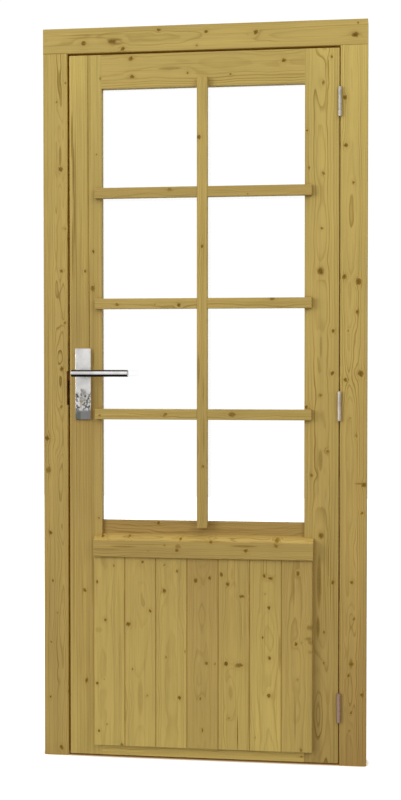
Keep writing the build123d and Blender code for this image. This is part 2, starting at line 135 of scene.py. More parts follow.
def blend(tree, factor, first, second, held=True):
    """first where factor is 0, second where it is 1; beyond both if the factor isn't held to 0..1."""
    node = add(tree, "ShaderNodeMix", {0: factor, 6: first, 7: second}, data_type="RGBA", clamp_factor=held)
    return node.outputs[2]


def bump(tree, height, depth, strength=1.0):
    return add(tree, "ShaderNodeBump", {"Height": height, "Distance": depth, "Strength": strength}).outputs[0]


def object_place(tree):
    return add(tree, "ShaderNodeTexCoord").outputs["Object"]


def axes(tree, value):
    """The X, Y and Z of a vector, by name."""
    return add(tree, "ShaderNodeSeparateXYZ", {0: value}).outputs


def new_group(name, inputs, outputs):
    group = bpy.data.node_groups.new(name, "ShaderNodeTree")
    for side, sockets in (("INPUT", inputs), ("OUTPUT", outputs)):
        for label, kind in sockets:
            group.interface.new_socket(name=label, in_out=side, socket_type="NodeSocket" + kind)
    return group, group.nodes.new("NodeGroupInput").outputs, group.nodes.new("NodeGroupOutput").inputs


def empty_tree(owner):
    """The node tree of a material or a world, with nothing in it."""
    owner.use_nodes = True
    owner.node_tree.nodes.clear()
    return owner.node_tree


def new_material(name):
    material = bpy.data.materials.new(name)
    tree = empty_tree(material)
    shader = add(tree, "ShaderNodeBsdfPrincipled")
    add(tree, "ShaderNodeOutputMaterial", {"Surface": shader.outputs[0]})
    return material, tree, shader


def node_of_type(tree, kind):
    return next(node for node in tree.nodes if node.type == kind)


def dress(node_name, material):
    """The CAD node's whole surface takes the material."""
    mesh = nodes[node_name].data
    mesh.materials.clear()
    mesh.materials.append(material)
    for polygon in mesh.polygons:
        polygon.material_index = 0


# Softwood: rings round a pith that runs along the piece, bent aside round each knot

PALE = linear(189, 165, 91)
PALE_LATE = linear(136, 108, 32)
BROWN = linear(167, 139, 76)
BROWN_LATE = linear(118, 89, 24)
KNOT_EDGE = linear(134, 104, 28)
KNOT_HEART = linear(98, 71, 6)
KNOT_HALO = linear(152, 119, 46)
# Painted shade: the darker colour of corners and the warm brown of gaps
PAINTED_CORNER_SHADE = linear(150, 110, 52)
PAINTED_GAP_SHADE = linear(244, 202, 50)
# Painted light: how much lighter faces turned upward are painted
UPWARD_PAINTED_LIGHT = 1.29

# Noises: repeats to the metre across, through and along the grain, then detail and roughness
BENDS = ((7.0, 7.0, 3.6), 3.0, 0.5)
JITTER = ((90.0, 90.0, 9.0), 1.0, 0.5)
PATCHES = ((16.0, 16.0, 2.6), 2.0, 0.5)
FIBRES = ((620.0, 620.0, 13.0), 3.0, 0.6)
STREAKS = ((95.0, 95.0, 1.6), 2.0, 0.55)
CLOUDS = ((9.0, 9.0, 3.0), 3.0, 0.55)
HAIRS = ((330.0, 330.0, 2.2), 2.0, 0.6)
KNOT_GRAIN = ((330.0, 330.0, 260.0), 1.0, 0.5)
KNOT_OUTLINE = ((190.0, 190.0, 120.0), 2.0, 0.5)

# What they do: noise from, to, and the effect at each
PATCH_STRENGTH = (0.35, 0.66, 0.42, 1.0)
BAND_STRENGTH = (0.35, 0.66, 0.30, 1.0)
FIBRE_LIGHT = (0.25, 0.75, 0.93, 1.07)
STREAK_LIGHT = (0.30, 0.70, -0.075, 0.075)
CLOUD_LIGHT = (0.30, 0.70, -0.06, 0.06)
HAIR_EDGE = (0.56, 0.72)
HAIR_SHARE = (0.35, 0.65, 0.08, 0.46)
HEART_MOTTLE = (0.38, 0.58, 0.25, 1.0)

# Rings: the seed shifts all noises by its step; the log's bends and jitter are in metres; drift, unevenness
# and step are in rings; the summer band starts and is darkest at a share of each ring
SEED_STEP = (0.37, 0.91, 3.3)
BEND_SIZE = (0.020, 0.030, 0.0)
JITTER_SIZE = 0.0012
RING_DRIFT = 0.4
RING_UNEVEN = 1.6
RING_STEP = 7.3
BAND_START = 0.50
BAND_PEAK = 0.90

# Knots, streaks and arches: edges are in half sizes of the mark, the unevenness of a knot's outline in metres
MARK_REACH = 0.42
MARK_EDGE = (1.25, 0.75)
KNOT_UNEVEN = (0.0075, 0.0, 0.012)
HEART_EDGE = (1.0, 0.35)
HALO_SHARE = 0.24
KNOT_SHARE = 0.8
KNOT_PUSH = -0.75
KNOT_SWELL = 0.35
ARCH_SHARE = 0.5

# Relief: how much fibres, summer bands and knots stand proud, and how deep it all is
FIBRE_RISE = 0.6
BAND_RISE = 0.5
KNOT_RISE = 0.25
RELIEF = 0.0004
RELIEF_STRENGTH = 0.7

# Surface: roughness of the early wood and of the summer bands, and the gloss of both
WOOD_ROUGHNESS = (0.0, 1.0, 0.62, 0.52)
WOOD_GLOSS = 0.28

# Painted shade in corners and gaps, and painted light on faces turned upward: open air, or how far a face
# turns up, from, to, and how strong the painted colour is at each
SHADE_REACH = 0.012
SHADE_SAMPLES = 6
SHADED_SHARE = (0.45, 0.85, 0.6, 0.0)
GAP_SHARE = (0.15, 0.42, 1.0, 0.0)
PAINTED_TOP_LIGHT = (0.4, 0.8, 1.0, UPWARD_PAINTED_LIGHT)
PANE_HALF_WIDTH = 0.330
PANE_HALF_HEIGHT = 0.650
PANE_MIDDLE_Z = 1.306
PANE_EDGE = 0.004

# The axes across, through and along the grain
ALONG_Z = ("X", "Y", "Z")
ALONG_X = ("Z", "Y", "X")


def make_mark_group():
    """How one mark in the wood moves the grain near it, and how far a point is from its middle."""
    group, given, out = new_group(
        "wood_mark",
        [("Place", "Vector"), ("Middle", "Vector"), ("Shrink", "Vector"), ("Push", "Vector"),
         ("Swell", "Vector"), ("Darkness", "Float")],
        [("Warp", "Vector"), ("Distance", "Float"), ("Core", "Float"), ("Halo", "Float")])
    offset = vector(group, "SUBTRACT", given["Place"], given["Middle"])
    distance = length(group, vector(group, "MULTIPLY", offset, given["Shrink"]))
    reach = maths(group, "MULTIPLY", distance, MARK_REACH)
    near = maths(group, "EXPONENT", maths(group, "MULTIPLY", maths(group, "MULTIPLY", reach, reach), -1.0))
    aside = vector(group, "MULTIPLY_ADD", offset, given["Push"], given["Swell"])
    core = ramp(group, distance, *MARK_EDGE)
    group.links.new(scaled(group, aside, near), out["Warp"])
    group.links.new(distance, out["Distance"])
    group.links.new(maths(group, "MULTIPLY", core, given["Darkness"]), out["Core"])
    group.links.new(maths(group, "MULTIPLY", near, given["Darkness"]), out["Halo"])
    return group


def make_softwood_group():
    """The colour and relief of softwood at a place, from its rings, fibres and knots."""
    group, given, out = new_group(
        "softwood",
        [("Place", "Vector"), ("Warp", "Vector"), ("Pith", "Vector"), ("Seed", "Float"),
         ("Ring", "Float"), ("Contrast", "Float"), ("Wander", "Float"), ("Brown", "Float"),
         ("Knot", "Float"), ("Knot Distance", "Float"), ("Halo", "Float")],
        [("Colour", "Color"), ("Height", "Float"), ("Late", "Float")])
    place = vector(group, "ADD", given["Place"], scaled(group, SEED_STEP, given["Seed"]))

    # The log's own bends, slow along the grain
    bends = scaled(group, wobble(group, place, BENDS, BEND_SIZE), given["Wander"])
    centred = vector(group, "SUBTRACT", vector(group, "ADD", given["Place"], given["Warp"]), given["Pith"])
    centred = vector(group, "MULTIPLY", vector(group, "ADD", centred, bends), (1.0, 1.0, 0.0))
    jitter = maths(group, "SUBTRACT", noise(group, place, *JITTER).outputs[0], 0.5)
    radius = maths(group, "ADD", length(group, centred), maths(group, "MULTIPLY", jitter, JITTER_SIZE))

    # Growth rings of uneven width, some with a darker summer band than others
    count = maths(group, "DIVIDE", radius, given["Ring"])
    drift = maths(group, "MULTIPLY", count, RING_DRIFT)
    uneven = line_noise(group, maths(group, "ADD", drift, given["Seed"]))
    count = maths(group, "ADD", count, maths(group, "MULTIPLY", uneven, RING_UNEVEN))
    phase = maths(group, "FRACT", count)
    rise = ramp(group, phase, BAND_START, BAND_PEAK)
    fall = ramp(group, phase, BAND_PEAK, 1.0, 1.0, 0.0)
    step = maths(group, "MULTIPLY", maths(group, "FLOOR", count), RING_STEP)
    strength = ramp(group, line_noise(group, maths(group, "ADD", step, given["Seed"])), *BAND_STRENGTH)
    patch = ramp(group, noise(group, place, *PATCHES).outputs[0], *PATCH_STRENGTH)
    late = maths(group, "MULTIPLY", maths(group, "MULTIPLY", rise, fall),
                 maths(group, "MULTIPLY", strength, patch))

    # Fibres and slow changes of tone
    fibre = noise(group, place, *FIBRES).outputs[0]
    streaks = noise(group, place, *STREAKS).outputs[0]
    cloud = noise(group, place, *CLOUDS).outputs[0]
    early = blend(group, given["Brown"], PALE, BROWN, held=False)
    dark = blend(group, given["Brown"], PALE_LATE, BROWN_LATE, held=False)
    colour = blend(group, maths(group, "MULTIPLY", late, given["Contrast"]), early, dark)
    light = maths(group, "ADD", ramp(group, fibre, *FIBRE_LIGHT, smooth=False),
                  ramp(group, streaks, *STREAK_LIGHT, smooth=False))
    light = maths(group, "ADD", light, ramp(group, cloud, *CLOUD_LIGHT, smooth=False))
    colour = scaled(group, colour, light)

    # Fine dark lines along the grain
    hair = ramp(group, noise(group, place, *HAIRS).outputs[0], *HAIR_EDGE)
    colour = blend(group, maths(group, "MULTIPLY", hair, ramp(group, cloud, *HAIR_SHARE)), colour, dark)

    # Knots: a brown glow in the wood round them, a brown rim and a dark, mottled heart
    colour = blend(group, maths(group, "MULTIPLY", given["Halo"], HALO_SHARE), colour, KNOT_HALO)
    mottle = ramp(group, noise(group, place, *KNOT_GRAIN).outputs[0], *HEART_MOTTLE)
    heart = maths(group, "MULTIPLY", ramp(group, given["Knot Distance"], *HEART_EDGE), mottle)
    colour = blend(group, given["Knot"], colour, blend(group, heart, KNOT_EDGE, KNOT_HEART))

    height = maths(group, "SUBTRACT", maths(group, "MULTIPLY", fibre, FIBRE_RISE),
                   maths(group, "MULTIPLY", late, BAND_RISE))
    height = maths(group, "ADD", height, maths(group, "MULTIPLY", given["Knot"], KNOT_RISE))
    group.links.new(colour, out["Colour"])
    group.links.new(height, out["Height"])
    group.links.new(late, out["Late"])
    return group


MARK = make_mark_group()
SOFTWOOD = make_softwood_group()


def knot(across, along, radius, stretch=1.15, dark=1.0):
    """A knot; the grain parts round it. Millimetres across and along the grain."""
    radius = radius * KNOT_SHARE
    return dict(across=across, along=along, half=(radius, radius * stretch), push=KNOT_PUSH,
                swell=KNOT_SWELL * radius, dark=dark, ragged=True)


def streak(across, along, half_width, half_length, dark=0.5):
    """A dark lengthwise streak, such as a resin line."""
    return dict(across=across, along=along, half=(half_width, half_length), push=0.0, swell=0.0, dark=dark,
                ragged=False)


def arch(across, along, half_width, half_length, swell=6.0):
    """A place where the rings bulge, which shows as nested ovals and arches on a flat-sawn face."""
    half = (half_width * ARCH_SHARE, half_length * ARCH_SHARE)
    return dict(across=across, along=along, half=half, push=0.0, swell=swell, dark=0.0,
                ragged=False)


def lay_marks(tree, local, marks):
    """The softwood group's inputs for all the marks of a piece. Only knots have a ragged outline."""
    outline = vector(tree, "ADD", local, wobble(tree, local, KNOT_OUTLINE, KNOT_UNEVEN))
    warp, core, halo, distance = None, None, None, None
    for mark in marks:
        half_width, half_length = (size * MM for size in mark["half"])
        made = add(tree, "ShaderNodeGroup", {
            "Place": outline if mark["ragged"] else local,
            "Middle": (mark["across"] * MM, 0.0, mark["along"] * MM),
            "Shrink": (1 / half_width, 0.0, 1 / half_length), "Push": (mark["push"], 0.0, 0.0),
            "Swell": (0.0, -mark["swell"] * MM, 0.0), "Darkness": mark["dark"]}, node_tree=MARK).outputs
        if warp is None:
            warp, core, halo, distance = made["Warp"], made["Core"], made["Halo"], made["Distance"]
        else:
            warp = vector(tree, "ADD", warp, made["Warp"])
            core = maths(tree, "MAXIMUM", core, made["Core"])
            if mark["ragged"]:
                halo = maths(tree, "MAXIMUM", halo, made["Halo"])
            distance = maths(tree, "MINIMUM", distance, made["Distance"])
    return {"Warp": warp, "Knot": core, "Knot Distance": distance, "Halo": halo}


def paint_shade_in_corners(tree, colour, parts):
    """Painted shade: in corners the wood is painted a little darker, in the gaps a warm brown, but not round
    the pane, where light comes in through the glass."""
    open_air = add(tree, "ShaderNodeAmbientOcclusion", {"Distance": SHADE_REACH},
                   samples=SHADE_SAMPLES).outputs["AO"]
    colour = blend(tree, ramp(tree, open_air, *SHADED_SHARE), colour, PAINTED_CORNER_SHADE)
    beside = maths(tree, "SUBTRACT", maths(tree, "ABSOLUTE", parts["X"]), PANE_HALF_WIDTH)
    from_middle = maths(tree, "ABSOLUTE", maths(tree, "SUBTRACT", parts["Z"], PANE_MIDDLE_Z))
    off_pane = maths(tree, "MAXIMUM", beside, maths(tree, "SUBTRACT", from_middle, PANE_HALF_HEIGHT))
    gap = maths(tree, "MULTIPLY", ramp(tree, open_air, *GAP_SHARE), ramp(tree, off_pane, 0.0, PANE_EDGE))
    return blend(tree, gap, colour, PAINTED_GAP_SHADE)


def wood(node_name, order, pith, browns, seed, marks=(), ring=2.7, contrast=0.8, wander=1.0,
         paint_top_light=False, pale=1.0):
    """One piece of softwood. order names the axes across, through and along the grain; pith is where the
    rings' middle lies across and through the piece; browns is how brown it is at its low end, perhaps its
    middle, and its high end, partly the wood's own tone and partly painted light and shade along the piece;
    pale makes it lighter all over, in part painted light; marks are its knots, streaks and arches. pith and
    ring are in millimetres."""
    material, tree, shader = new_material("wood_" + node_name)
    place = object_place(tree)
    parts = axes(tree, place)
    local = add(tree, "ShaderNodeCombineXYZ", enumerate(parts[name] for name in order)).outputs[0]

    low, high = (corner["XYZ".index(order[2])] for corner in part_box(node_name))
    middle = (low + high) / 2
    half_way = browns[1] if len(browns) == 3 else (browns[0] + browns[1]) / 2
    along = parts[order[2]]
    brown = maths(tree, "ADD", ramp(tree, along, low, middle, browns[0], half_way, smooth=False),
                  ramp(tree, along, middle, high, 0.0, browns[-1] - half_way, smooth=False))

    inputs = {"Place": local, "Pith": (pith[0] * MM, pith[1] * MM, 0.0), "Seed": float(seed),
              "Ring": ring * MM, "Contrast": contrast, "Wander": wander, "Brown": brown}
    if marks:
        inputs.update(lay_marks(tree, local, marks))
    grain = add(tree, "ShaderNodeGroup", inputs, node_tree=SOFTWOOD).outputs
    colour = scaled(tree, grain["Colour"], pale)
    if paint_top_light:
        # Painted light: faces turned upward are painted lighter, as if more light fell on them from above
        facing = axes(tree, add(tree, "ShaderNodeNewGeometry").outputs["Normal"])
        colour = scaled(tree, colour, ramp(tree, facing["Z"], *PAINTED_TOP_LIGHT))
    tree.links.new(paint_shade_in_corners(tree, colour, parts), shader.inputs["Base Color"])
    tree.links.new(ramp(tree, grain["Late"], *WOOD_ROUGHNESS, smooth=False), shader.inputs["Roughness"])
    tree.links.new(bump(tree, grain["Height"], RELIEF, RELIEF_STRENGTH), shader.inputs["Normal"])
    shader.inputs["Specular IOR Level"].default_value = WOOD_GLOSS
    dress(node_name, material)


# Pieces of wood. The places of their marks are in millimetres, across and along the grain

# Frame

wood("left_jamb", ALONG_Z, (-416, -3), (0.70, 0.65, 0.15), 1, [
    knot(-415, 22, 7), knot(-447, 168, 4), knot(-393, 187, 4), knot(-445, 330, 3), knot(-427, 416, 3),
    knot(-440, 508, 4), knot(-446, 648, 6), knot(-452, 830, 10, dark=0.8), knot(-456, 922, 8),
    knot(-413, 1013, 5, dark=0.8), knot(-412, 1123, 7), knot(-402, 1255, 5, dark=0.8), knot(-412, 1405, 5),
    knot(-400, 1528, 4, dark=0.6), knot(-414, 1698, 8), streak(-415, 1735, 4, 30, 0.6),
    knot(-425, 1890, 4, dark=0.8), knot(-400, 1945, 4, dark=0.7),
    arch(-416, 1760, 9, 100, 8), arch(-416, 1610, 7, 40, 5), arch(-417, 1510, 9, 80, 7),
    arch(-416, 1400, 8, 50, 5), arch(-418, 1260, 10, 80, 7), arch(-422, 930, 12, 90, 7),
    arch(-420, 560, 12, 100, 6), arch(-420, 250, 12, 100, 6)], ring=2.8, contrast=1.35, wander=0.7)
wood("right_jamb", ALONG_Z, (420, 5), (1.25, 0.5, -0.2), 2, [
    knot(418, 100, 4, dark=0.6), knot(423, 152, 4), knot(453, 204, 6), knot(415, 256, 5), knot(423, 289, 8),
    knot(430, 418, 5, dark=0.8), knot(423, 521, 6), knot(452, 716, 5), knot(457, 797, 8),
    streak(445, 800, 14, 3, 0.6), knot(435, 935, 5, dark=0.5), knot(418, 985, 4, dark=0.6),
    knot(404, 1092, 7), knot(447, 1110, 10), knot(412, 1230, 4, dark=0.6), knot(437, 1283, 5),
    knot(441, 1368, 10), knot(401, 1382, 8), knot(426, 1645, 5), knot(404, 1750, 7), knot(401, 1882, 7),
    arch(419, 190, 10, 70, 8), arch(421, 400, 10, 80, 7), arch(425, 600, 10, 80, 6),
    arch(428, 1180, 12, 120, 6)], ring=3.0, contrast=1.0, wander=0.7, pale=1.06)
wood("frame_head", ALONG_X, (2063, 20), (0.27, 0.20), 3, [
    knot(2056, -345, 8), knot(2058, -262, 8, 2.0), streak(2064, -255, 4, 22, 0.6),
    streak(2052, -252, 4, 20, 0.5), knot(2037, -232, 7), knot(2088, -127, 5), knot(2040, -18, 4, dark=0.7),
    knot(2079, 9, 5), knot(2072, 151, 8), knot(2056, 430, 9, 1.4), knot(2090, 437, 3),
    streak(2080, -300, 2.5, 90, 0.3), streak(2072, -340, 2, 60, 0.3),
    arch(2062, -300, 18, 110, 6), arch(2060, 60, 16, 120, 6)], ring=3.2, wander=0.5)
wood("threshold_batten", ALONG_X, (30, 60), (0.9, 0.9), 4)

# Leaf frame

wood("lock_stile", ALONG_Z, (-432, 15), (0.2, 0.88, -0.25), 5, [
    streak(-333, 1720, 1.3, 420, 1.0), streak(-327, 1900, 1.0, 240, 0.8), streak(-330, 1250, 1.2, 190, 1.0),
    streak(-326, 800, 1.2, 190, 0.6), streak(-323, 560, 1.2, 130, 0.5),
    streak(-380, 1790, 3.0, 70, 0.7), streak(-376, 1690, 3.2, 80, 0.75), streak(-374, 1560, 2.2, 90, 0.7),
    streak(-379, 1470, 2.4, 90, 0.6), streak(-371, 1620, 1.2, 200, 0.6),
    streak(-369, 1450, 1.1, 420, 0.45), streak(-377, 560, 1.5, 260, 0.45), streak(-382, 820, 1.2, 160, 0.4),
    knot(-345, 482, 6), knot(-340, 220, 5, 2.0), knot(-342, 1403, 5), knot(-320, 1355, 8),
    knot(-318, 1460, 4), knot(-308, 1737, 3, dark=0.7), knot(-303, 692, 4), knot(-297, 1955, 4, dark=0.6),
    streak(-318, 1150, 2.5, 25, 0.5)], ring=2.6, contrast=1.1, wander=0.5)
wood("hinge_stile", ALONG_Z, (336, 20), (0.85, 0.5, -0.1), 6, [
    knot(345, 290, 4, dark=0.8), knot(346, 378, 4, dark=0.8), streak(329, 392, 5, 30, 0.65),
    streak(332, 520, 6, 75, 0.6), streak(346, 560, 1.2, 120, 0.6), streak(357, 590, 1.3, 110, 0.6),
    streak(364, 560, 1.2, 150, 0.5), streak(350, 440, 1.2, 70, 0.5), streak(371, 500, 1.0, 140, 0.5),
    knot(370, 521, 6), knot(337, 652, 8), knot(310, 823, 5, dark=0.8), streak(335, 865, 6, 30, 0.5),
    knot(355, 890, 5, dark=0.8), knot(295, 1015, 6), knot(335, 1048, 5, dark=0.8), knot(368, 1111, 6),
    streak(336, 1185, 3, 30, 0.4), knot(370, 1229, 6), knot(334, 1397, 10, 1.1),
    knot(338, 1518, 5, dark=0.8), knot(342, 1672, 5, dark=0.8), knot(302, 1688, 4, dark=0.7),
    knot(295, 1792, 4), knot(341, 1925, 6, dark=0.7), knot(364, 1998, 4),
    arch(333, 150, 18, 165, 15), arch(334, 1925, 13, 85, 10),
    arch(336, 1250, 14, 140, 4), arch(336, 800, 16, 170, 6)], ring=3.3, contrast=0.95, wander=0.5)
wood("top_rail", ALONG_X, (1985, 85), (0.25, 0.25), 31, [
    knot(2009, -208, 7), knot(1957, -205, 7), knot(1991, 230, 7), knot(1964, -43, 4, dark=0.8),
    knot(1956, 80, 4, dark=0.7), streak(1978, -95, 4, 34, 0.45), streak(1990, -50, 1.5, 60, 0.3),
    arch(1976, -90, 14, 90, 6)], ring=3.0, wander=0.5)
wood("mid_rail", ALONG_X, (640, 60), (1.2, 1.0), 8, [
    knot(680, -130, 6), streak(672, -160, 2, 70, 0.4), streak(662, 60, 3, 110, 0.35),
    streak(670, 230, 2, 60, 0.3)], contrast=0.9)
# Painted light: the bottom rail, in the shade under the boards, is painted paler
wood("bottom_rail", ALONG_X, (60, 60), (0.0, 0.1), 9, [knot(22, 283, 4)], pale=1.2)

# Glazing bars and beads

wood("long_bar", ALONG_Z, (-30, 15), (0.8, 0.2), 10, [
    knot(-9, 1778, 7), knot(0, 1470, 4), knot(3, 846, 5, dark=0.8), streak(-10, 1120, 3.5, 45, 0.5),
    streak(4, 1060, 2, 40, 0.4), streak(5, 940, 2, 60, 0.4), streak(9, 1880, 1.2, 60, 0.4)], ring=2.5)
wood("cross_bar_1", ALONG_X, (950, 20), (0.45, 0.45), 11, [
    knot(993, -106, 6, dark=0.8), knot(994, 86, 9, 1.4, 0.8), knot(990, -297, 4, dark=0.8)], ring=2.5)
wood("cross_bar_2", ALONG_X, (1280, 20), (0.5, 0.45), 12, [
    knot(1307, -245, 6, dark=0.8), knot(1304, -66, 6), knot(1306, -136, 3, dark=0.7),
    knot(1321, 200, 7, dark=0.8)], ring=2.5)
wood("cross_bar_3", ALONG_X, (1600, 20), (0.65, 0.6), 13, [
    knot(1632, -93, 5, 1.5, 0.7), knot(1616, 130, 3, dark=0.7)], ring=2.5)
BEADS = {
    14: ("bead_top", ALONG_X, (1900, 60)),
    15: ("bead_bottom", ALONG_X, (720, 60)),
    16: ("bead_left", ALONG_Z, (-260, 60)),
    17: ("bead_right", ALONG_Z, (260, 60)),
}
for seed, (name, order, pith) in BEADS.items():
    wood(name, order, pith, (0.5, 0.3), seed)

# Sill and boards. Each board has its pith, how brown it is half way up, and its marks

BOARD_FADE = 0.25
FIRST_BOARD_SEED = 20

wood("weather_sill", ALONG_X, (570, -10), (0.75, 0.65), 18, [
    knot(607, -70, 7, 1.1), knot(618, -68, 8, 1.4, 0.5), knot(609, 127, 6, 1.2), streak(622, 122, 3, 38, 0.6),
    knot(620, -106, 4, dark=0.6), knot(603, -154, 3, dark=0.6), knot(632, 27, 5), knot(624, 212, 7, 1.2, 0.8),
    knot(638, 214, 7, 1.2, 0.8), knot(638, -62, 4), knot(642, -212, 4), knot(642, -290, 5),
    streak(615, -225, 3, 38, 0.5), streak(606, -280, 2, 50, 0.4), streak(622, -190, 1.5, 90, 0.4),
    streak(633, 20, 2, 60, 0.4)], contrast=1.0, paint_top_light=True)
BOARDS = {
    1: ((-290, 40), 0.25, [
        knot(-304, 511, 4), knot(-255, 559, 3, dark=0.8), knot(-280, 402, 5), knot(-304, 218, 5),
        knot(-276, 100, 3, dark=0.8), knot(-300, 80, 5), knot(-283, 230, 2, dark=0.6),
        knot(-232, 41, 6, dark=0.8), streak(-300, 372, 10, 8, 0.2), streak(-238, 290, 1.5, 80, 0.3)]),
    2: ((-178, 75), 0.3, [
        knot(-213, 390, 9, 0.75), knot(-150, 430, 5), knot(-172, 570, 4), knot(-200, 262, 3, dark=0.8),
        knot(-158, 187, 4, dark=0.5), streak(-178, 180, 8, 50, 0.25)]),
    3: ((-90, 80), 0.22, [
        knot(-108, 489, 6), knot(-72, 546, 4, dark=0.8), knot(-104, 298, 4, dark=0.7), knot(-65, 183, 6),
        knot(-108, 563, 5, 0.7, 0.6), knot(-48, 316, 3, dark=0.7)]),
    4: ((0, 32), 0.72, [
        knot(-18, 521, 7), knot(22, 528, 5), knot(13, 285, 4, dark=0.9), knot(38, 283, 3, dark=0.8),
        knot(-5, 183, 4, dark=0.9), knot(2, 92, 4), arch(0, 400, 12, 90, 5), arch(0, 130, 10, 60, 4)]),
    5: ((88, 30), 0.45, [
        knot(56, 538, 6), knot(74, 512, 6), knot(114, 478, 10, 0.5), knot(69, 284, 7),
        knot(107, 281, 14, 0.5, 0.85), knot(79, 130, 4, dark=0.6), streak(102, 85, 1.4, 50, 0.95),
        streak(112, 400, 1.0, 75, 0.6), streak(134, 190, 2, 160, 0.35), arch(84, 200, 12, 70, 4)]),
    6: ((190, 70), 0.2, [
        knot(178, 537, 5, 1.4), knot(195, 530, 9, 0.6), knot(192, 448, 6), knot(180, 487, 3, dark=0.8),
        knot(173, 363, 3), knot(193, 304, 6), knot(192, 198, 6), knot(152, 75, 3, dark=0.5),
        streak(222, 320, 4, 50, 0.4), streak(184, 560, 1.4, 35, 0.5), streak(176, 565, 1.4, 30, 0.5)]),
    7: ((268, 45), 0.6, [
        knot(274, 546, 6), knot(268, 346, 6), knot(306, 393, 11, 0.8, 0.55), knot(302, 362, 12, 0.6, 0.5),
        knot(309, 352, 9, 0.9, 0.5), knot(308, 324, 8, 0.9, 0.35), knot(283, 45, 4, dark=0.8),
        knot(273, 246, 3, dark=0.5), knot(285, 350, 3, dark=0.5), streak(266, 130, 2, 60, 0.4),
        streak(262, 500, 3, 50, 0.3)]),
}
for number, (pith, brown, marks) in BOARDS.items():
    wood(f"board_{number}", ALONG_Z, pith, (brown - BOARD_FADE, brown + BOARD_FADE),
         FIRST_BOARD_SEED + number, marks, ring=2.4, contrast=0.45, wander=0.5)


# Metal and glass

# The handle: heights and places in metres
LEVER_Z = 1.110
LEVER_TIP = -0.206
PLATE_FRONT = -0.028
SPINDLE_X = -0.3475
COLLAR_RADIUS = 0.0125

# How the metals vary: noises as for the wood, and what they do
METAL_LINES = (3.0, 0.6)
METAL_CLOUDS = ((22.0, 22.0, 22.0), 3.0, 0.5)
METAL_DULL = 0.86
METAL_DULL_EDGE = (0.35, 0.70)
METAL_POLISH = (0.3, 0.7)
METAL_DULL_POLISH = (0.4, 0.7, 0.0, 0.05)
METAL_RELIEF_STRENGTH = 0.6

# The lever's painted dark reflection along its top and underside, and painted shade on its end: height over
# its middle, and distance before its end
LEVER_PAINTED_REFLECTION = linear(70, 68, 68)
LEVER_END_PAINTED_SHADE = linear(150, 148, 147)
LEVER_TOP = (0.0055, 0.0080)
LEVER_UNDER = (-0.0012, -0.0064)
LEVER_END_EDGE = (-0.0020, -0.0006)

# Rust on the hinges, from this height down
HINGE_RUST = linear(168, 144, 132)
HINGE_RUST_EDGE = (1.3, 0.3)

# The plate's painted dark reflection with lighter and darker spots, and its rim's painted highlight:
# distances below the lever's middle, and the shares of the noise that are spots
PLATE_RIM_PAINTED_HIGHLIGHT = linear(255, 254, 252)
PLATE_RIM_EDGE = (0.0009, 0.0002)
COLLAR_MARK = linear(150, 148, 145)
COLLAR_MARK_EDGE = (0.0014, 0.0006, 0.0, 0.3)
PLATE_PAINTED_REFLECTION = linear(124, 123, 121)
PAINTED_REFLECTION_EDGE = (0.036, 0.050)
PAINTED_REFLECTION_UNEVEN = 0.03
PAINTED_REFLECTION_CLOUDS = ((70.0, 70.0, 70.0), 2.0, 0.5)
SPOTS = ((150.0, 150.0, 130.0), 2.0, 0.6)
LIGHTER_SPOTS = (0.47, 0.53)
LIGHTER_SPOT_EDGE = (0.098, 0.082)
DARKER_SPOT = linear(52, 50, 46)
DARKER_SPOTS = (0.40, 0.35)
DARKER_SPOT_EDGE = (0.100, 0.088)
CORNER_PAINTED_REFLECTION = linear(96, 101, 93)
CORNER_SIDE = (0.004, 0.010)
CORNER_EDGE = (0.088, 0.104)

# Glass
GLASS_TINT = (0.985, 1.0, 0.992, 1.0)
GLASS_SHADOW = (0.94, 0.97, 0.95, 1.0)
GLASS_IOR = 1.5
GLASS_DUST = ((9.0, 9.0, 5.0), 4.0, 0.6)
GLASS_DUST_ROUGHNESS = (0.45, 0.8, 0.0, 0.015)
GLASS_RIPPLE = ((3.0, 3.0, 2.0), 1.0, 0.5)
GLASS_RIPPLE_DEPTH = 0.00002
GLASS_RIPPLE_STRENGTH = 0.3


def metal(name, colour, roughness, grain, spread=0.08, scratch=0.00003, metallic=1.0):
    """Metal whose polish varies in fine lines; grain is their number to the metre along X, Y and Z."""
    material, tree, shader = new_material(name)
    place = object_place(tree)
    lines = noise(tree, place, grain, *METAL_LINES).outputs[0]
    cloud = noise(tree, place, *METAL_CLOUDS).outputs[0]
    dull = linear(*(part * METAL_DULL for part in colour))
    mixed = blend(tree, ramp(tree, cloud, *METAL_DULL_EDGE), linear(*colour), dull)
    polish = maths(tree, "ADD", ramp(tree, lines, *METAL_POLISH, roughness - spread, roughness + spread),
                   ramp(tree, cloud, *METAL_DULL_POLISH))
    tree.links.new(mixed, shader.inputs["Base Color"])
    tree.links.new(polish, shader.inputs["Roughness"])
    tree.links.new(bump(tree, lines, scratch, METAL_RELIEF_STRENGTH), shader.inputs["Normal"])
    shader.inputs["Metallic"].default_value = metallic
    return material


def over_colour(material, factor, colour):
    """Lays a colour over what the metal's shader has, as strongly as factor says."""
    tree = material.node_tree
    socket = node_of_type(tree, "BSDF_PRINCIPLED").inputs["Base Color"]
    tree.links.new(blend(tree, factor, socket.links[0].from_socket, colour), socket)


def paint_lever_reflections(material):
    """Painted reflection: the round bar is painted darker along its top and its underside, and its end is
    painted darker as shade.
    """
    tree = material.node_tree
    parts = axes(tree, object_place(tree))
    height = maths(tree, "SUBTRACT", parts["Z"], LEVER_Z)
    painted_dark = maths(tree, "MAXIMUM", ramp(tree, height, *LEVER_TOP), ramp(tree, height, *LEVER_UNDER))
    over_colour(material, painted_dark, LEVER_PAINTED_REFLECTION)
    # Painted shade: the end of the bar is painted darker
    end = ramp(tree, parts["X"], *(LEVER_TIP + edge for edge in LEVER_END_EDGE))
    over_colour(material, end, LEVER_END_PAINTED_SHADE)


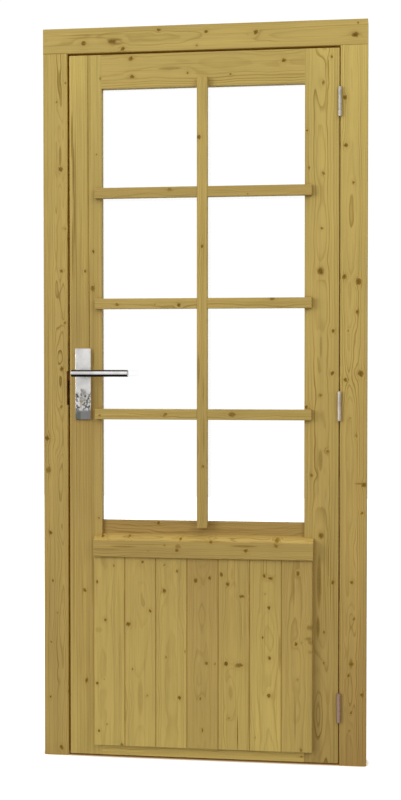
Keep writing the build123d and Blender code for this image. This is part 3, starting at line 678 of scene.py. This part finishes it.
def rust_low_hinge(material):
    """Nearer the ground the hinges have gone a dull reddish brown."""
    tree = material.node_tree
    height = axes(tree, object_place(tree))["Z"]
    over_colour(material, ramp(tree, height, *HINGE_RUST_EDGE), HINGE_RUST)


def paint_plate_reflections(material):
    """Painted reflection: the lower part of the plate, round the keys, is painted dark, with lighter and
    darker spots, and its rounded rim is painted bright as a highlight.
    """
    tree = material.node_tree
    place = object_place(tree)
    parts = axes(tree, place)
    cloud = noise(tree, place, *PAINTED_REFLECTION_CLOUDS).outputs[0]
    height = maths(tree, "ADD", parts["Z"], maths(tree, "MULTIPLY", cloud, PAINTED_REFLECTION_UNEVEN))

    def below_lever(start, end):
        return ramp(tree, height, LEVER_Z - start, LEVER_Z - end)

    # Painted highlight: the rounded rim is painted bright, and only the flat front takes the painted dark
    # reflection
    front = ramp(tree, parts["Y"], *(PLATE_FRONT + edge for edge in PLATE_RIM_EDGE))
    over_colour(material, maths(tree, "SUBTRACT", 1.0, front), PLATE_RIM_PAINTED_HIGHLIGHT)
    # A ring worn by the lever's collar
    from_axis = vector(tree, "SUBTRACT", place, (SPINDLE_X, 0.0, LEVER_Z))
    turn = length(tree, vector(tree, "MULTIPLY", from_axis, (1.0, 0.0, 1.0)))
    off_ring = maths(tree, "ABSOLUTE", maths(tree, "SUBTRACT", turn, COLLAR_RADIUS))
    over_colour(material, ramp(tree, off_ring, *COLLAR_MARK_EDGE), COLLAR_MARK)
    # The painted dark reflection, lighter in some spots and darker in others
    reflected_dark = maths(tree, "MULTIPLY", below_lever(*PAINTED_REFLECTION_EDGE), front)
    spots = noise(tree, place, *SPOTS).outputs[0]
    lighter_here = maths(tree, "MULTIPLY", ramp(tree, spots, *LIGHTER_SPOTS), below_lever(*LIGHTER_SPOT_EDGE))
    left = maths(tree, "SUBTRACT", 1.0, lighter_here)
    over_colour(material, maths(tree, "MULTIPLY", reflected_dark, left), PLATE_PAINTED_REFLECTION)
    darker_here = maths(tree, "MULTIPLY", ramp(tree, spots, *DARKER_SPOTS), below_lever(*DARKER_SPOT_EDGE))
    over_colour(material, maths(tree, "MULTIPLY", reflected_dark, darker_here), DARKER_SPOT)
    # Its lower left corner is painted the darkest and a little green, part of the painted reflection
    side = ramp(tree, parts["X"], *(SPINDLE_X - edge for edge in CORNER_SIDE))
    corner = maths(tree, "MULTIPLY", side, below_lever(*CORNER_EDGE))
    over_colour(material, maths(tree, "MULTIPLY", corner, front), CORNER_PAINTED_REFLECTION)


satin = metal("satin_steel", (240, 238, 235), 0.28, (900.0, 900.0, 18.0))
lever_steel = metal("lever_steel", (244, 243, 242), 0.17, (25.0, 900.0, 900.0), 0.04)
paint_lever_reflections(lever_steel)
painted_plate = metal("painted_plate", (223, 221, 218), 0.30, (900.0, 900.0, 18.0), 0.03, 0.00001)
paint_plate_reflections(painted_plate)
inner_steel = metal("case_steel", (176, 178, 180), 0.38, (300.0, 300.0, 300.0))
strike_steel = metal("strike_bronze", (150, 98, 42), 0.5, (300.0, 300.0, 300.0), metallic=0.3)
hinge_zinc = metal("hinge_zinc", (206, 202, 190), 0.58, (500.0, 500.0, 900.0))
rust_low_hinge(hinge_zinc)
screw_zinc = metal("screw_zinc", (186, 182, 170), 0.42, (700.0, 700.0, 700.0))
nail_steel = metal("nail_steel", (120, 104, 82), 0.55, (900.0, 900.0, 900.0))
nickel = metal("key_nickel", (208, 207, 204), 0.30, (500.0, 500.0, 500.0), 0.05)
METAL_NODES = {
    satin: ("inner_plate",),
    painted_plate: ("outer_plate",),
    lever_steel: ("outer_lever", "inner_lever"),
    inner_steel: ("lock_case", "lock_hub", "spindle"),
    strike_steel: ("strike_plate", "lock_forend", "latch_bolt", "dead_bolt"),
    hinge_zinc: ("hinge_flaps_frame", "hinge_flaps_leaf", "hinge_pins"),
    screw_zinc: ("strike_screws", "hinge_screws_frame", "hinge_screws_leaf", "forend_screws",
                 "plate_screws"),
    nail_steel: ("bar_brads", "board_nails"),
    nickel: ("lock_cylinder", "cylinder_plug", "door_key", "key_ring", "spare_key"),
}
for material, names in METAL_NODES.items():
    for name in names:
        dress(name, material)


def make_glass():
    material, tree, shader = new_material("float_glass")
    place = object_place(tree)
    dust = noise(tree, place, *GLASS_DUST).outputs[0]
    ripple = noise(tree, place, *GLASS_RIPPLE).outputs[0]
    tree.links.new(ramp(tree, dust, *GLASS_DUST_ROUGHNESS), shader.inputs["Roughness"])
    tree.links.new(bump(tree, ripple, GLASS_RIPPLE_DEPTH, GLASS_RIPPLE_STRENGTH), shader.inputs["Normal"])
    shader.inputs["Base Color"].default_value = GLASS_TINT
    shader.inputs["Transmission Weight"].default_value = 1.0
    shader.inputs["IOR"].default_value = GLASS_IOR
    # Lamps light what lies behind the pane
    path = add(tree, "ShaderNodeLightPath").outputs
    clear = add(tree, "ShaderNodeBsdfTransparent", {"Color": GLASS_SHADOW}).outputs[0]
    through = maths(tree, "MAXIMUM", path["Is Shadow Ray"], path["Is Diffuse Ray"])
    both = add(tree, "ShaderNodeMixShader", {0: through, 1: shader.outputs[0], 2: clear}).outputs[0]
    tree.links.new(both, node_of_type(tree, "OUTPUT_MATERIAL").inputs["Surface"])
    return material


dress("glass_pane", make_glass())


# Floor, room and lamps

def seen_directly(tree, path):
    """1 for what the camera, a mirror or the glass shows, 0 for light on a matt surface."""
    shown = maths(tree, "MAXIMUM", path["Is Camera Ray"], path["Is Glossy Ray"])
    return maths(tree, "MAXIMUM", shown, path["Is Transmission Ray"])


def make_floor():
    half = FLOOR_SIZE / 2
    mesh = bpy.data.meshes.new("studio_floor")
    mesh.from_pydata([(-half, -half, 0), (half, -half, 0), (half, half, 0), (-half, half, 0)], [],
                     [(0, 1, 2, 3)])
    floor = bpy.data.objects.new("studio_floor", mesh)
    bpy.context.scene.collection.objects.link(floor)
    material = bpy.data.materials.new("studio_floor")
    tree = empty_tree(material)
    shown = seen_directly(tree, add(tree, "ShaderNodeLightPath").outputs)
    open_air = add(tree, "ShaderNodeAmbientOcclusion", {"Distance": CONTACT_REACH}).outputs["AO"]
    colour = blend(tree, shown, FLOOR_BOUNCE, FLOOR_COLOUR)
    # Painted reflection: close under the wood the floor is painted warm
    colour = blend(tree, ramp(tree, open_air, *WOOD_REFLECTION_SHARE), colour, FLOOR_PAINTED_WOOD_REFLECTION)
    matt = add(tree, "ShaderNodeBsdfDiffuse", {"Color": colour}).outputs[0]
    # Painted shadow: close under the wood the glow fades
    strength = maths(tree, "MULTIPLY", shown, ramp(tree, open_air, *PAINTED_CONTACT_SHADOW))
    glow = add(tree, "ShaderNodeEmission", {"Strength": strength}).outputs[0]
    both = add(tree, "ShaderNodeAddShader", {0: matt, 1: glow}).outputs[0]
    add(tree, "ShaderNodeOutputMaterial", {"Surface": both})
    mesh.materials.append(material)
    floor.visible_glossy = False


def make_world():
    """White where it is seen; metal sees it dark straight above and low down, as in a room."""
    world = bpy.data.worlds.new("studio")
    bpy.context.scene.world = world
    tree = empty_tree(world)
    path = add(tree, "ShaderNodeLightPath").outputs
    rise = axes(tree, add(tree, "ShaderNodeTexCoord").outputs["Generated"])["Z"]
    above = ramp(tree, rise, *MIRRORED_ABOVE)
    below = ramp(tree, rise, *MIRRORED_BELOW)
    mirrored = maths(tree, "MULTIPLY", maths(tree, "MULTIPLY", above, below),
                     ramp(tree, rise, *MIRRORED_FRONT))
    from_metal = maths(tree, "SUBTRACT", path["Is Glossy Ray"], path["Is Transmission Ray"])
    white = blend(tree, from_metal, BACKGROUND, mirrored)
    room = ramp(tree, rise, 0.0, 1.0, ROOM_LEVEL, ROOM_ABOVE, smooth=False)
    colour = blend(tree, seen_directly(tree, path), room, white)
    back = add(tree, "ShaderNodeBackground", {"Color": colour, "Strength": 1.0}).outputs[0]
    add(tree, "ShaderNodeOutputWorld", {"Surface": back})


def make_lamp(name, place, aim, size, watts, mirrored=False):
    light = bpy.data.lights.new(name, "AREA")
    light.shape = "SQUARE"
    light.size = size
    light.energy = watts
    lamp = bpy.data.objects.new(name, light)
    lamp.location = place
    lamp.rotation_euler = (Vector(aim) - Vector(place)).to_track_quat("-Z", "Y").to_euler()
    lamp.visible_glossy = mirrored
    bpy.context.scene.collection.objects.link(lamp)


def make_camera():
    data = bpy.data.cameras.new("camera")
    data.sensor_fit = "AUTO"
    data.sensor_width = CAMERA_SENSOR
    data.lens = CAMERA_LENS
    camera = bpy.data.objects.new("camera", data)
    camera.location = CAMERA_PLACE
    camera.rotation_euler = Euler((math.pi / 2 - CAMERA_DOWN, 0.0, CAMERA_YAW))
    bpy.context.scene.collection.objects.link(camera)
    bpy.context.scene.camera = camera


make_floor()
make_world()
make_lamp("key_lamp", KEY_PLACE, KEY_AIM, KEY_SIZE, KEY_WATTS, mirrored=True)
make_lamp("fill_lamp", FILL_PLACE, FILL_AIM, FILL_SIZE, FILL_WATTS)
make_camera()
bpy.context.scene.view_settings.view_transform = "Standard"
